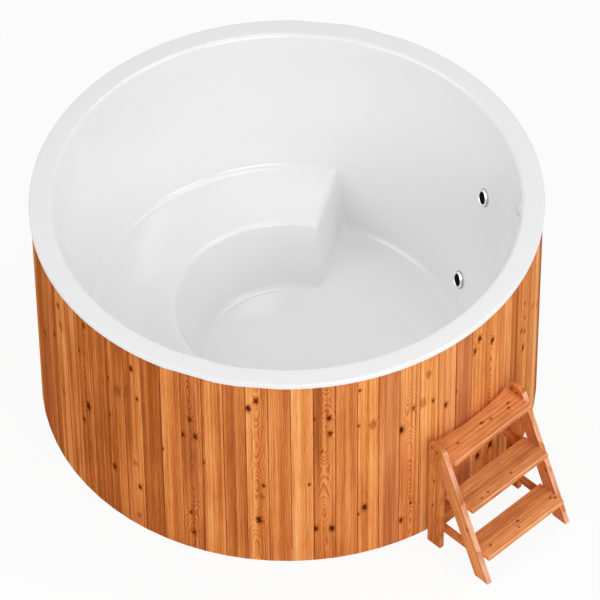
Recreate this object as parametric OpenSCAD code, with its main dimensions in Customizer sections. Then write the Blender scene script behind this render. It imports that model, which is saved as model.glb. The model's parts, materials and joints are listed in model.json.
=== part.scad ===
// Round cold plunge tub: a white moulded liner with a bench, carried in a timber
// frame clad with upright boards, and a free-standing step ladder beside it.
// The origin is on the tub's axis at ground level, and the ladder stands at -Y.
// Angles round the tub are in degrees from -Y, counted towards +X.

/* [Liner] */
// Diameter over the rim
tub_d = 2000; // [1800:10:2200]
// Height from the ground to the top of the rim
tub_h = 1016; // [960:1:1080]
// Width of the rim, from its outer edge to the tub wall
rim_w = 88; // [82:1:110]
// Depth of the lip that turns down over the boards
lip_drop = 19; // [14:1:30]
// Thickness of the turned-down lip
lip_t = 4.5; // [3:0.5:6]
// Thickness of the moulded shell
shell_t = 8; // [6:0.5:9]
// Lean of the tub wall from upright, in degrees
wall_lean = 13; // [11:0.5:15]
// Height of the tub's floor above the ground
floor_h = 143; // [138:1:160]
// Radius of the fillet between floor and wall
floor_fillet = 60; // [40:1:80]
// Radius of the rounded edge between wall and rim
rim_round = 18; // [12:1:24]

/* [Bench] */
// Height of the bench seat above the tub's floor
seat_h = 269; // [230:1:300]
// Depth of the seat, from the wall to its front edge
seat_w = 320; // [280:1:360]
// Lean of the bench front from upright, in degrees
riser_lean = 21; // [15:0.5:25]
// Radius of the seat's front edge
seat_round = 25; // [16:1:35]
// Radius of the fillets at the foot and the back of the bench
bench_fillet = 35; // [20:1:45]
// Angle at which the bench starts
bench_from = 121; // [110:1:135]
// Angle that the bench covers
bench_span = 180; // [150:1:190]

/* [Cladding] */
// Width of one board, before a whole number of them is fitted round the tub
board_w = 85.5; // [70:0.5:110]
// Thickness of the boards
board_t = 20; // [18:0.5:24]
// Seam between two boards
board_seam = 0.8; // [0.4:0.1:1.5]
// How far the rim stands out past the boards
rim_overhang = 6.5; // [5.5:0.5:12]
// Gap between the boards and the ground
board_foot = 6; // [3:1:12]
// Length of the tongue on a board's edge
tongue = 7; // [4:0.5:8]

/* [Frame] */
// Thickness of the plywood rings
ring_t = 21; // [18:1:25]
// Width of the plywood rings
ring_w = 43; // [40:1:50]
// Height of the middle ring above the ground
mid_ring_h = 532; // [480:1:580]
// Number of studs round the tub
stud_count = 12; // [6, 12]
// Width of a stud along the ring
stud_w = 58; // [45:1:70]
// Height of the base joists
joist_h = 50; // [45:1:50]
// Width of the base joists
joist_w = 70; // [60:1:90]
// Spacing of the base joists
joist_pitch = 380; // [340:5:390]
// Thickness of the floor deck
deck_t = 18; // [15:1:18]
// Thickness of the foam sleeve round the shell
sleeve_t = 18; // [10:1:20]
// Thickness of the ribs under the bench
rib_t = 21; // [18:1:40]

/* [Ports] */
// Angle of the two wall ports
port_at = 66.8; // [62:0.1:72]
// Height of the upper port above the ground
upper_port_h = 697; // [640:1:720]
// Height of the lower port above the ground
lower_port_h = 267; // [250:1:300]
// Diameter of a port's bright ring
port_ring_d = 74; // [72:1:90]
// Diameter of a port's open hole
port_hole_d = 50; // [50:1:52]
// Outside diameter of the port pipes
port_pipe_d = 48; // [40:1:48]
// How far the port pipes stand out of the boards
pipe_out = 55; // [50:1:80]

/* [Overflow] */
// Angle of the overflow
overflow_at = 43.6; // [40:0.1:46]
// Depth of the overflow below the rim
overflow_drop = 50; // [48:1:60]
// Diameter of the overflow cover
overflow_d = 46; // [40:1:50]

/* [Drain] */
// Outside diameter of the drain pipe
drain_pipe_d = 40; // [32:1:40]
// Length of the drain pipe outside the boards
drain_out = 42; // [40:1:80]
// Length of the valve lever
lever_l = 110; // [90:1:140]

/* [Ladder] */
// Width over the ladder's sides
ladder_w = 460; // [400:5:560]
// Height of the ladder
ladder_h = 570; // [550:1:620]
// Depth of the ladder on the ground
ladder_d = 329; // [322:1:380]
// Lean of the stringers from upright, in degrees
ladder_lean = 24.6; // [22:0.1:25]
// Thickness of the side boards
side_t = 22; // [18:1:28]
// Width of the rear posts
post_w = 70; // [60:1:80]
// Width of the stringers
stringer_w = 63; // [50:1:66]
// Gap between the boards of the tub and the ladder's posts
ladder_gap = 11.5; // [8:0.5:30]
// Gap between the boards of the tub and the top tread
tread_gap = 20.5; // [12:0.5:30]
// Height of the first tread's top
first_tread = 130; // [125:1:160]
// Drop from the top of the ladder to its top tread
tread_drop = 38; // [30:1:80]
// Depth of a tread
tread_d = 128; // [110:1:135]
// Thickness of a tread
tread_t = 23; // [18:0.5:26]
// How far a tread's nose stands in front of the stringers
nose_out = 44; // [16:1:48]
// Radius of the rounded edges of a tread's nose
nose_round = 5; // [2:0.5:8]
// How far the rails' front ends stand behind the front of the stringers
rail_back = 24; // [0:1:25]
// Height of the rails under the treads
rail_h = 28; // [24:1:40]
// Height of the rear cross bar
cross_h = 60; // [50:1:80]
// Height of the cross bar's lower edge
cross_at = 85; // [60:1:100]

/* [Hidden] */
$fn = 48;
PANELS = ["cladding_01", "cladding_02", "cladding_03", "cladding_04", "cladding_05", "cladding_06",
    "cladding_07", "cladding_08", "cladding_09", "cladding_10", "cladding_11", "cladding_12"];

big = 3000;
fit = 0.2;        // gap between pieces that seat on each other
running = 0.05;   // radial gap of a turning fit
thread = 0.3;     // radial gap left for a thread

// Liner sizes
rim_r = tub_d / 2;
rim_edge_round = 5;
rim_join_r = rim_r - 30;
wall_top_r = rim_r - rim_w;
seat_z = floor_h + seat_h;
function wall_r(z) = wall_top_r - (tub_h - z) * tan(wall_lean);
floor_r = wall_r(floor_h);
seat_out_r = wall_r(seat_z);
seat_in_r = seat_out_r - seat_w;
riser_foot_r = seat_in_r - seat_h * tan(riser_lean);
bench_to = bench_from + bench_span;
back_shift = shell_t / cos(wall_lean);

// Cladding sizes
clad_r = rim_r - rim_overhang;
clad_in_r = clad_r - board_t;
board_count = round(360 / (2 * atan(board_w / 2 / clad_r)));
board_step = 360 / board_count;
half_step = board_step / 2;
clad_corner_r = clad_r / cos(half_step);
seam_at = 0.75;
board_top = tub_h - shell_t - 4;
tongue_t = board_t * 0.3;

// Frame sizes
ring_r = clad_in_r - fit;
ring_in_r = ring_r - ring_w;
deck_top = joist_h + deck_t;
top_ring_z = tub_h - shell_t - ring_t - fit;
ring_z = [deck_top, mid_ring_h, top_ring_z];
segment_count = 12;
segment_step = 360 / segment_count;
segment_gap = 0.03;
function segment_start(k) = seam_at + k * segment_step;
stud_d = ring_w - 6;
stud_at = 20;
joist_count = 5;
joist_end_r = ring_r - 15;
rib_count = 5;

// Screw sizes
screw_r = 2;
screw_head_r = 4;
screw_head_t = 2.5;
screw_hole_r = screw_r + running;
board_bite = 13;

// Port sizes; a port lies square to the leaning wall
pad_h = 2.5;
pad_r = port_ring_d / 2 + 3;
gasket_t = 2;
flange_t = 4;
barrel_r = port_hole_d / 2 + 4;
barrel_l = shell_t + 44;
nut_r = barrel_r + 12;
nut_t = 14;
pipe_r = port_pipe_d / 2;
pipe_wall = 3;
elbow_r = pipe_r + 4;
elbow_reach = barrel_l + elbow_r + 2;
socket_l = 26;
collar_at = clad_corner_r + fit;
collar_t = 6;
collar_w = 12;
bead_at = collar_at + collar_t + fit;
bead_t = 4;

// Overflow sizes
overflow_z = tub_h - overflow_drop;
overflow_barrel_r = 12;
overflow_spigot_r = 9;
overflow_bore_r = 7;
hose_r = 12;
hose_line_r = ring_in_r + hose_r + 4;
overflow_reach = (hose_line_r - wall_r(overflow_z)) / cos(wall_lean);

// Drain sizes; the drain lies at the foot of the bench and its pipe runs out along +X
drain_pipe_r = drain_pipe_d / 2;
drain_z = deck_top + 10 + drain_pipe_r;
drain_hole_r = 31;
drain_barrel_r = 30;
drain_bore_r = 26;
drain_flange_r = 50;
drain_flange_t = 4;
drain_x = -(riser_foot_r - bench_fillet - drain_flange_r - 14);
drain_nut_r = 42;
drain_nut_t = 11;
drain_socket_r = drain_pipe_r + 4;
drain_socket_l = 28;

// Valve sizes; the valve sits on the end of the drain pipe
ball_r = 25;
ball_bore_r = drain_pipe_r - 3;
seat_ring_t = 5;
valve_r = 31;
valve_socket = 14;
pipe_end_x = clad_r + drain_out;
valve_x = pipe_end_x - valve_socket + 1;
seat_contact = sqrt(ball_r * ball_r - (ball_bore_r + 1) * (ball_bore_r + 1)) + fit;
ball_x = pipe_end_x + 3 + seat_ring_t + seat_contact;
valve_end_x = ball_x + seat_contact + seat_ring_t;
stem_r = 6;
tang_w = 6;
tang_h = 5;
boss_r = 11;
boss_top = drain_z + valve_r + 12;
stem_top = boss_top + 12;
lever_t = 4;
lever_w = 20;
outlet_thread = 16;
tail_r = 19;
tail_l = 45;

// Ladder sizes: u runs out from the tub along -Y, v runs along +X
post_u = clad_r + ladder_gap;
post_front = post_u + post_w;
foot_u = post_u + ladder_d;
side_v = ladder_w / 2 - side_t;
top_round = 45;
tread_rise = (ladder_h - tread_drop - first_tread) / 2;
function front_u(z) = foot_u - z * tan(ladder_lean);
function tread_top(i) = first_tread + i * tread_rise;
function nose_u(i) = front_u(tread_top(i)) + (i == 2 ? nose_out - 4 : nose_out);
rail_w = 22;
cross_t = 22;
tread_arc_r = clad_r + tread_gap;

function arc(c, r, from, to, steps) =
    [for (i = [0:steps]) let (a = from + (to - from) * i / steps) c + r * [cos(a), sin(a)]];

// A concave fillet between a level at z and a line that leans outwards and meets the level at
// radius r; back moves the curve behind the moulding's face
function fillet(r, z, lean, rad, back) =
    let (rise = rad * (1 - sin(lean)), c = [r + rise * tan(lean) - rad * cos(lean), z + rad])
    arc(c, rad + back, -90, -lean, 8);

// A rounded edge where a leaning line comes up to a level at z
function rounded(r, z, lean, rad, back) =
    let (drop = rad * (1 - sin(lean)), c = [r - drop * tan(lean) + rad * cos(lean), z - rad])
    arc(c, rad - back, 180 - lean, 90, 6);

centre_r = riser_foot_r - bench_fillet - 20;
function rim_curve(back) = rounded(wall_top_r, tub_h, wall_lean, rim_round, back);
function free_profile(back) = concat([[centre_r - 1, floor_h - back]],
    fillet(floor_r, floor_h, wall_lean, floor_fillet, back), rim_curve(back));
function bench_profile(back) = concat([[centre_r - 1, floor_h - back]],
    fillet(riser_foot_r, floor_h, riser_lean, bench_fillet, back),
    rounded(seat_in_r, seat_z, riser_lean, seat_round, back),
    fillet(seat_out_r, seat_z, wall_lean, bench_fillet, back), rim_curve(back));
function backwards(points) = [for (i = [len(points) - 1:-1:0]) points[i]];

// The rim from its outer edge down the lip and back under it
function rim_edge() = concat(
    arc([rim_r - rim_edge_round, tub_h - rim_edge_round], rim_edge_round, 90, 0, 4),
    [[rim_r, tub_h - lip_drop], [rim_r - lip_t, tub_h - lip_drop], [rim_r - lip_t, tub_h - shell_t]]);

// Turns what stands at -Y to angle a
module at(a) { rotate([0, 0, a]) children(); }

// Puts what is drawn in the XZ plane at +X at angle a
module section_at(a) { rotate([0, 0, a - 90]) children(); }

// Square to the leaning wall at angle a and height z, with +Z pointing out of the tub
module at_wall(a, z) {
    at(a) translate([0, -wall_r(z), z]) rotate([90 + wall_lean, 0, 0]) children();
}

module along_x(x) { translate([x, 0, drain_z]) rotate([0, 90, 0]) children(); }

module tube(r, bore, h) {
    difference() {
        cylinder(r = r, h = h);
        translate([0, 0, -1]) cylinder(r = bore, h = h + 2);
    }
}

// Moulded liner

// A sector runs from the floor up to the flat of the rim
module liner_sector(from, span, inner, outer) {
    section_at(from) rotate_extrude(angle = span)
        polygon(concat(inner, [[rim_join_r, tub_h], [rim_join_r, tub_h - shell_t]], backwards(outer)));
}

module bench_end() {
    linear_extrude(shell_t) difference() {
        polygon(concat(free_profile(shell_t),
            [[wall_top_r, tub_h - shell_t + 1], [centre_r - 1, tub_h - shell_t + 1]]));
        polygon(concat(bench_profile(0), [[centre_r - 2, tub_h], [centre_r - 2, floor_h]]));
    }
}

module wall_pad(a, z, r) {
    at_wall(a, z) translate([0, 0, -pad_h]) cylinder(r = r, h = shell_t + 2 * pad_h);
}

module liner() {
    $fn = 240;
    color("white") difference() {
        union() {
            translate([0, 0, floor_h - shell_t]) cylinder(r = centre_r, h = shell_t);
            liner_sector(bench_to - 360, 360 - bench_span,
                free_profile(0), free_profile(shell_t));
            liner_sector(bench_from, bench_span, bench_profile(0), bench_profile(shell_t));
            rotate_extrude() polygon(concat([[rim_join_r - 5, tub_h]], rim_edge(),
                [[rim_join_r - 5, tub_h - shell_t]]));
            section_at(bench_from) translate([0, shell_t, 0]) rotate([90, 0, 0]) bench_end();
            section_at(bench_to) rotate([90, 0, 0]) bench_end();
            wall_pad(port_at, upper_port_h, pad_r);
            wall_pad(port_at, lower_port_h, pad_r);
            wall_pad(overflow_at, overflow_z, overflow_d / 2 + 1.5);
        }
        for (z = [upper_port_h, lower_port_h])
            at_wall(port_at, z) translate([0, 0, -20]) cylinder(r = barrel_r + 0.5, h = 60);
        at_wall(overflow_at, overflow_z)
            translate([0, 0, -20]) cylinder(r = overflow_barrel_r + 0.5, h = 50);
        translate([drain_x, 0, floor_h - shell_t - 1]) cylinder(r = drain_hole_r, h = shell_t + 2);
    }
}

// Cladding

module board_shape() {
    half_out = clad_r * tan(half_step) - board_seam / 2;
    half_in = clad_in_r * tan(half_step) - board_seam / 2;
    difference() {
        union() {
            polygon([[-half_out, -clad_r], [half_out, -clad_r],
                [half_in, -clad_in_r], [-half_in, -clad_in_r]]);
            rotate(half_step) translate([-board_seam / 2 - 1, -clad_in_r - board_t / 2 - tongue_t / 2])
                square([tongue + 1, tongue_t]);
        }
        rotate(-half_step) translate([-5, -clad_in_r - board_t / 2 - tongue_t / 2 - fit])
            square([5 + tongue - board_seam / 2 + 0.5, tongue_t + 2 * fit]);
    }
}

// Angle of board i, counted from the first seam
function board_at(i) = seam_at + (i + 0.5) * board_step;

// The way between angle a and angle b, at most half a turn
function apart(a, b) = abs((a - b + 540) % 360 - 180);
function apart_mm(a, b) = apart(a, b) * PI / 180 * ring_in_r;

// Board i has a screw at a ring unless the overflow hose or the drain pipe is in its way
function has_screw(i, level) = level == 2
    || (apart_mm(board_at(i), overflow_at) > hose_r + 6
        && (level == 1 || apart_mm(board_at(i), 90) > drain_pipe_r + 8));

// Puts a screw's or a hole's axis at board i and ring level, pointing outwards from radius r
module at_screw(i, level, r) {
    at(board_at(i)) translate([0, -r, ring_z[level] + ring_t / 2]) rotate([90, 0, 0]) children();
}

module board(i) {
    difference() {
        at(board_at(i)) translate([0, 0, board_foot])
            linear_extrude(board_top - board_foot) board_shape();
        for (level = [0:2]) if (has_screw(i, level))
            at_screw(i, level, clad_in_r - 1) cylinder(r = screw_hole_r, h = board_bite + 2);
    }
}

module cladding_panel(k) {
    first = floor(k * board_count / 12);
    last = floor((k + 1) * board_count / 12) - 1;
    color(k % 2 == 0 ? "peru" : "chocolate") for (i = [first:last]) difference() {
        board(i);
        if (apart(board_at(i), port_at) < 1.5 * board_step) {
            port_way(upper_port_h);
            port_way(lower_port_h);
        }
        if (apart(board_at(i), 90) < 1.5 * board_step)
            along_x(clad_in_r - board_t) cylinder(r = drain_pipe_r + 1.5, h = 3 * board_t);
    }
}

// Frame

// A ring is cut from plywood in segments that meet end to end
module ring_plate(level) {
    for (k = [0:segment_count - 1]) difference() {
        section_at(segment_start(k)) rotate_extrude(angle = segment_step - segment_gap, $fn = 360)
            translate([ring_in_r, ring_z[level]]) square([ring_w, ring_t]);
        for (i = [0:board_count - 1])
            if (apart(board_at(i), segment_start(k) + segment_step / 2) < segment_step / 2 + 1)
                if (has_screw(i, level))
                    at_screw(i, level, ring_in_r - 2) cylinder(r = screw_hole_r, h = ring_w + 4);
    }
}

module hose_way(low, high) {
    at(overflow_at) translate([0, -hose_line_r, low]) cylinder(r = hose_r + 1, h = high - low);
}

module top_ring() { color("burlywood") ring_plate(2); }

module middle_ring() {
    color("burlywood") difference() {
        ring_plate(1);
        hose_way(mid_ring_h - 1, mid_ring_h + ring_t + 1);
    }
}

module bottom_ring() {
    color("burlywood") difference() {
        ring_plate(0);
        hose_way(deck_top - 1, deck_top + ring_t + 1);
        along_x(ring_in_r - ring_w) cylinder(r = drain_pipe_r + 2, h = 3 * ring_w);
    }
}

module stud_row(low, high) {
    for (i = [0:stud_count - 1])
        at(stud_at + i * 360 / stud_count)
            translate([-stud_w / 2, -ring_in_r - 2 - stud_d, low]) cube([stud_w, stud_d, high - low]);
}

module frame_studs() {
    color("wheat") {
        stud_row(deck_top + ring_t, mid_ring_h);
        stud_row(mid_ring_h + ring_t, top_ring_z);
    }
}

function joist_x(i) = (i - (joist_count - 1) / 2) * joist_pitch;
function joist_half(i) = sqrt(pow(joist_end_r, 2) - pow(abs(joist_x(i)) + joist_w / 2, 2));

module at_deck_screws() {
    for (i = [0:joist_count - 1], side = [-1, 0, 1])
        translate([joist_x(i), side * (joist_half(i) - 60) + 20, deck_top]) children();
}

module deck_screw(r, head_r) {
    translate([0, 0, -deck_t - 30]) cylinder(r = r, h = deck_t + 30 - 3);
    translate([0, 0, -3]) cylinder(r = head_r, h = 3);
}

module floor_deck() {
    color("burlywood") difference() {
        translate([0, 0, joist_h]) cylinder(r = ring_r, h = deck_t);
        hose_way(joist_h - 1, deck_top + 1);
        at_deck_screws() deck_screw(3 + running, 6 + running);
    }
}

module base_joists() {
    color("olivedrab") difference() {
        for (i = [0:joist_count - 1])
            translate([joist_x(i) - joist_w / 2, -joist_half(i), 0])
                cube([joist_w, 2 * joist_half(i), joist_h]);
        at_deck_screws() deck_screw(3 + running, 6);
        hose_way(-1, joist_h + 1);
    }
}

module deck_screws() { color("silver") at_deck_screws() deck_screw(3, 6); }

foam_free_r = floor_r - floor_fillet - 10;
foam_centre_r = riser_foot_r - bench_fillet - 5;

// The foam is laid in pieces that leave a way for the drain and its pipe
module floor_foam() {
    $fn = 240;
    slot_w = 2 * (drain_socket_r + 3);
    color("lightyellow") translate([0, 0, deck_top]) linear_extrude(floor_h - shell_t - fit - deck_top)
        difference() {
            union() {
                circle(r = foam_centre_r);
                intersection() {
                    circle(r = foam_free_r);
                    union() {
                        rotate(bench_to + 2 - 90) square([big, big]);
                        rotate(bench_from - 2 - 180) square([big, big]);
                    }
                }
            }
            translate([drain_x, 0]) circle(r = drain_flange_r);
            translate([drain_x, -slot_w / 2]) square([big, slot_w]);
        }
}

module sleeve(low, high, from, span) {
    near = back_shift + fit;
    far = near + sleeve_t / cos(wall_lean);
    section_at(from) rotate_extrude(angle = span)
        polygon([[wall_r(low) + near, low], [wall_r(low) + far, low],
            [wall_r(high) + far, high], [wall_r(high) + near, high]]);
}

module wall_foam() {
    $fn = 240;
    sleeve_top = overflow_z - 60;
    sleeve_foot = floor_h + floor_fillet + 10;
    bench_foot = seat_z + bench_fillet + 10;
    color("lightyellow") difference() {
        union() {
            sleeve(sleeve_foot, sleeve_top, bench_to - 360 + 2, 356 - bench_span);
            sleeve(bench_foot, sleeve_top, bench_from - 1, bench_span + 2);
        }
        for (z = [upper_port_h, lower_port_h])
            at_wall(port_at, z) cylinder(r = max(nut_r, pad_r) + 3, h = 100);
    }
}

// Ribs stand on the deck and carry the seat
module bench_ribs() {
    rib_in = seat_in_r + seat_round + shell_t + 5;
    rib_out = seat_out_r - 2 * bench_fillet;
    rib_top = seat_z - shell_t - fit;
    color("tan") for (i = [0:rib_count - 1])
        at(bench_from + (i + 0.5) * bench_span / rib_count)
            translate([-rib_t / 2, -rib_out, deck_top])
                cube([rib_t, rib_out - rib_in, rib_top - deck_top]);
}

// Each screw goes from the inside of a ring into the back of a board
module cladding_screws() {
    color("silver") for (level = [0:2], i = [0:board_count - 1]) if (has_screw(i, level))
        at_screw(i, level, ring_in_r - 0.1) {
            cylinder(r = screw_r, h = ring_w + board_bite);
            translate([0, 0, -screw_head_t]) cylinder(r = screw_head_r, h = screw_head_t);
        }
}

// Wall ports: ring, body, gasket and nut square to the wall, then a pipe that bends level

module port_ring(z) {
    rim = port_ring_d / 2;
    hole = port_hole_d / 2;
    foot = -pad_h - fit;
    face = -pad_h - gasket_t - flange_t - 0.1;
    color("gainsboro") at_wall(port_at, z) rotate_extrude() polygon([
        [hole, face], [hole, face - 3], [hole + 3, face - 6], [rim - 6, face - 3],
        [rim, face + 2], [rim, foot], [rim - 3, foot], [rim - 3, face]]);
}

module port_body(z) {
    color("dimgray") at_wall(port_at, z) difference() {
        union() {
            translate([0, 0, -pad_h - gasket_t - flange_t]) cylinder(r = port_ring_d / 2 - 4, h = flange_t);
            translate([0, 0, -pad_h - gasket_t]) cylinder(r = barrel_r, h = barrel_l + pad_h + gasket_t);
        }
        translate([0, 0, -20]) cylinder(r = port_hole_d / 2, h = 20 + barrel_l - socket_l);
        translate([0, 0, -20]) cylinder(r = pipe_r + running, h = 200);
    }
}

module upper_port_ring() { port_ring(upper_port_h); }
module lower_port_ring() { port_ring(lower_port_h); }
module upper_port_body() { port_body(upper_port_h); }
module lower_port_body() { port_body(lower_port_h); }

module port_gaskets() {
    color("black") for (z = [upper_port_h, lower_port_h])
        at_wall(port_at, z) translate([0, 0, -pad_h - gasket_t])
            tube(port_ring_d / 2 - 4, barrel_r + fit, gasket_t);
}

module port_nuts() {
    color("dimgray") for (z = [upper_port_h, lower_port_h])
        at_wall(port_at, z) translate([0, 0, shell_t + pad_h]) difference() {
            cylinder(r = nut_r, h = nut_t, $fn = 8);
            translate([0, 0, -1]) cylinder(r = barrel_r + thread, h = nut_t + 2, $fn = 48);
        }
}

// The elbow's place, as radius and height
function elbow(z) = [wall_r(z), z] + elbow_reach * [cos(wall_lean), -sin(wall_lean)];

// Level and outwards from a port's elbow
module from_elbow(z) {
    at(port_at) translate([0, -elbow(z)[0], elbow(z)[1]]) rotate([90, 0, 0]) children();
}

module port_way(z) { from_elbow(z) cylinder(r = pipe_r + 1.5, h = big); }

module port_pipe(z) {
    pipe_l = clad_r + pipe_out - elbow(z)[0];
    from = barrel_l - socket_l + 2;
    bore = pipe_r - pipe_wall;
    color("lightgray") difference() {
        union() {
            at_wall(port_at, z) translate([0, 0, from]) cylinder(r = pipe_r, h = elbow_reach - from);
            from_elbow(z) sphere(r = elbow_r);
            from_elbow(z) cylinder(r = pipe_r, h = pipe_l);
            from_elbow(z) translate([0, 0, bead_at - elbow(z)[0]]) cylinder(r = pipe_r + 4, h = bead_t);
        }
        at_wall(port_at, z) cylinder(r = bore, h = elbow_reach);
        from_elbow(z) sphere(r = bore + 1.5);
        from_elbow(z) cylinder(r = bore, h = pipe_l + 1);
    }
}

module upper_port_pipe() { port_pipe(upper_port_h); }
module lower_port_pipe() { port_pipe(lower_port_h); }

module pipe_collars() {
    color("black") {
        for (z = [upper_port_h, lower_port_h])
            from_elbow(z) translate([0, 0, collar_at - elbow(z)[0]])
                tube(pipe_r + collar_w, pipe_r + fit, collar_t);
        along_x(collar_at) tube(drain_pipe_r + collar_w, drain_pipe_r + fit, collar_t);
    }
}

// Overflow

module overflow_cover() {
    color("white") at_wall(overflow_at, overflow_z)
        translate([0, 0, -pad_h - 3.2]) rotate([180, 0, 0]) difference() {
            cylinder(r1 = overflow_d / 2, r2 = overflow_d / 2 - 3, h = 4);
            for (x = [-8, 0, 8]) translate([x - 2, -11, -1]) cube([4, 22, 6]);
        }
}

module overflow_body() {
    color("white") difference() {
        union() {
            at_wall(overflow_at, overflow_z) {
                translate([0, 0, -pad_h - 3]) cylinder(r = overflow_d / 2 - 1, h = 3);
                translate([0, 0, -pad_h]) cylinder(r = overflow_barrel_r, h = overflow_reach + pad_h + 10);
            }
            at(overflow_at) translate([0, -hose_line_r, overflow_z - 65])
                cylinder(r = overflow_spigot_r, h = 55);
        }
        at_wall(overflow_at, overflow_z)
            translate([0, 0, -pad_h - 4]) cylinder(r = overflow_bore_r + 2, h = overflow_reach + 8);
        at(overflow_at) translate([0, -hose_line_r, overflow_z - 66])
            cylinder(r = overflow_bore_r, h = 56);
    }
}

module overflow_nut() {
    color("white") at_wall(overflow_at, overflow_z) translate([0, 0, shell_t + pad_h])
        difference() {
            cylinder(r = overflow_barrel_r + 7, h = 6, $fn = 6);
            translate([0, 0, -1]) cylinder(r = overflow_barrel_r + thread, h = 8, $fn = 48);
        }
}

module overflow_hose() {
    top = overflow_z - 32;
    color("gray") at(overflow_at) translate([0, -hose_line_r, joist_h - 20])
        tube(hose_r, overflow_spigot_r + running, top - joist_h + 20);
}

// Drain

module drain_strainer() {
    color("silver") translate([drain_x, 0, floor_h + gasket_t + drain_flange_t]) difference() {
        union() {
            translate([0, 0, fit]) cylinder(r = drain_bore_r + 8, h = 2);
            translate([0, 0, -10]) cylinder(r = drain_bore_r - 1, h = 10 + fit + 1);
        }
        translate([0, 0, -11]) cylinder(r = drain_bore_r - 3, h = 11);
        for (k = [0:7]) rotate([0, 0, 45 * k]) translate([15, 0, -1]) cylinder(r = 3.5, h = 5);
        for (k = [0:3]) rotate([0, 0, 90 * k + 22]) translate([6, 0, -1]) cylinder(r = 2.5, h = 5);
    }
}

module drain_body() {
    bottom = deck_top + 4;
    color("dimgray") difference() {
        union() {
            translate([drain_x, 0, floor_h + gasket_t]) cylinder(r = drain_flange_r, h = drain_flange_t);
            translate([drain_x, 0, bottom]) cylinder(r = drain_barrel_r, h = floor_h + gasket_t + 1 - bottom);
            along_x(drain_x) cylinder(r = drain_socket_r, h = drain_barrel_r + drain_socket_l);
        }
        translate([drain_x, 0, bottom + 3]) cylinder(r = drain_bore_r, h = 100);
        along_x(drain_x) cylinder(r = drain_pipe_r + running, h = 100);
    }
}

module drain_gasket() {
    color("black") translate([drain_x, 0, floor_h + running])
        tube(drain_flange_r, drain_hole_r, gasket_t - running);
}

module drain_nut() {
    color("dimgray") translate([drain_x, 0, floor_h - shell_t - drain_nut_t]) difference() {
        cylinder(r = drain_nut_r, h = drain_nut_t, $fn = 6);
        translate([0, 0, -1]) cylinder(r = drain_barrel_r + thread, h = drain_nut_t + 2, $fn = 48);
    }
}

module drain_pipe() {
    from = drain_x + drain_barrel_r + 3;
    color("lightgray") along_x(from) tube(drain_pipe_r, drain_pipe_r - 2, pipe_end_x - from);
}

module valve_body() {
    color("goldenrod") difference() {
        union() {
            along_x(valve_x) cylinder(r = valve_r, h = valve_end_x + outlet_thread - valve_x);
            translate([ball_x, 0, drain_z]) cylinder(r = boss_r, h = boss_top - drain_z);
        }
        along_x(valve_x - 1) cylinder(r = drain_pipe_r + running, h = pipe_end_x + fit - valve_x + 1);
        along_x(pipe_end_x) cylinder(r = ball_bore_r, h = 20);
        along_x(pipe_end_x + 3) cylinder(r = ball_r + 0.4, h = 100);
        translate([ball_x, 0, drain_z]) cylinder(r = stem_r + running, h = 100);
    }
}

module valve_seats() {
    color("white") {
        along_x(ball_x - seat_contact - seat_ring_t) tube(ball_r, ball_bore_r + 1, seat_ring_t);
        along_x(ball_x + seat_contact) tube(ball_r, ball_bore_r + 1, seat_ring_t);
    }
}

// At rest the valve is shut, so the ball's bore lies across the pipe
module valve_ball() {
    color("silver") difference() {
        translate([ball_x, 0, drain_z]) sphere(r = ball_r);
        translate([ball_x, 0, drain_z]) rotate([90, 0, 0])
            cylinder(r = ball_bore_r - 1, h = 4 * ball_r, center = true);
        translate([ball_x - tang_w / 2, -big / 2, drain_z + ball_r - tang_h]) cube([tang_w, big, big]);
    }
}

module valve_stem() {
    color("silver") {
        translate([ball_x, 0, drain_z + ball_r + fit])
            cylinder(r = stem_r, h = stem_top - drain_z - ball_r - fit);
        intersection() {
            translate([ball_x - tang_w / 2 + running, -stem_r, drain_z + ball_r - tang_h + fit])
                cube([tang_w - 2 * running, 2 * stem_r, tang_h + 1]);
            translate([ball_x, 0, drain_z]) cylinder(r = stem_r, h = 2 * ball_r);
        }
    }
}

module valve_lever() {
    low = boss_top + 1;
    color("firebrick") difference() {
        union() {
            translate([ball_x, 0, low]) cylinder(r = lever_w / 2 + 2, h = lever_t);
            translate([ball_x - lever_w / 2, -lever_l, low]) cube([lever_w, lever_l, lever_t]);
            translate([ball_x, -lever_l, low]) cylinder(r = lever_w / 2, h = lever_t);
        }
        translate([ball_x, 0, low - 1]) cylinder(r = stem_r + running, h = lever_t + 2);
    }
}

module valve_lever_nut() {
    color("silver") translate([ball_x, 0, boss_top + 1 + lever_t]) difference() {
        cylinder(r = 10, h = 5, $fn = 6);
        translate([0, 0, -1]) cylinder(r = stem_r + running, h = 7, $fn = 48);
    }
}

// The outlet screws into the valve and ends in a hose tail
module valve_outlet() {
    color("goldenrod") along_x(valve_end_x) difference() {
        union() {
            cylinder(r = ball_r + 0.1, h = outlet_thread);
            translate([0, 0, outlet_thread + fit]) cylinder(r = valve_r - 2, h = 24, $fn = 6);
            cylinder(r = ball_r - 3, h = outlet_thread + 10);
            translate([0, 0, outlet_thread + 20]) cylinder(r = tail_r, h = tail_l + 4);
        }
        translate([0, 0, -1]) cylinder(r = 15, h = big);
    }
}

// Ladder

// Stands a shape drawn as (u, z) upright, from v to v + t
module upright(v, t) {
    translate([v + t, 0, 0]) rotate([90, 0, -90]) linear_extrude(t) children();
}

module side_outline() {
    corner = ladder_h;
    turn = 90 - ladder_lean;
    cut = top_round * tan(turn / 2);
    c = [front_u(corner) - cut, corner - top_round];
    polygon(concat([[post_u, 0], [foot_u, 0]], arc(c, top_round, ladder_lean, 90, 8),
        [[post_u + 8, corner], [post_u, corner - 8]]));
}

module post_shape() {
    intersection() {
        side_outline();
        translate([post_u, 0]) square([post_w, ladder_h]);
    }
}

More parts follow.
